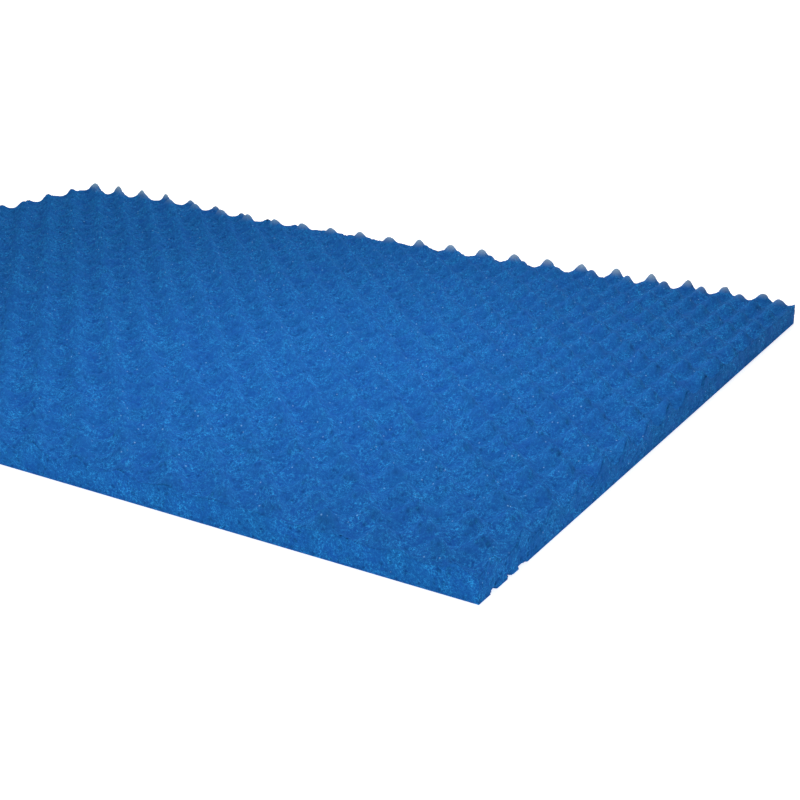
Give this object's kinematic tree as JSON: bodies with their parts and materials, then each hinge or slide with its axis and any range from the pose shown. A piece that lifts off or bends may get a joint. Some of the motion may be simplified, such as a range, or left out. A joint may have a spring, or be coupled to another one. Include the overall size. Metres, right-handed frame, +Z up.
{
  "type": "sponge filter mat",
  "caption": "Rectangular pond and aquarium filter mat of coarse blue open-cell foam, flat underneath, with a convoluted egg-crate top of rounded peaks and dips, trimmed square.",
  "frame": {"origin": "centre of the flat underside", "axes": "+X across the mat's width, +Y along its length, +Z up from the underside to the peaks"},
  "size_m": [0.6, 0.9, 0.025],
  "materials": {
    "filter_foam": "blue reticulated open-cell polyurethane foam, matt, with small glints from the cell struts"
  },
  "bodies": {
    "root": {"foam_mat": "filter_foam"}
  },
  "joints": []
}
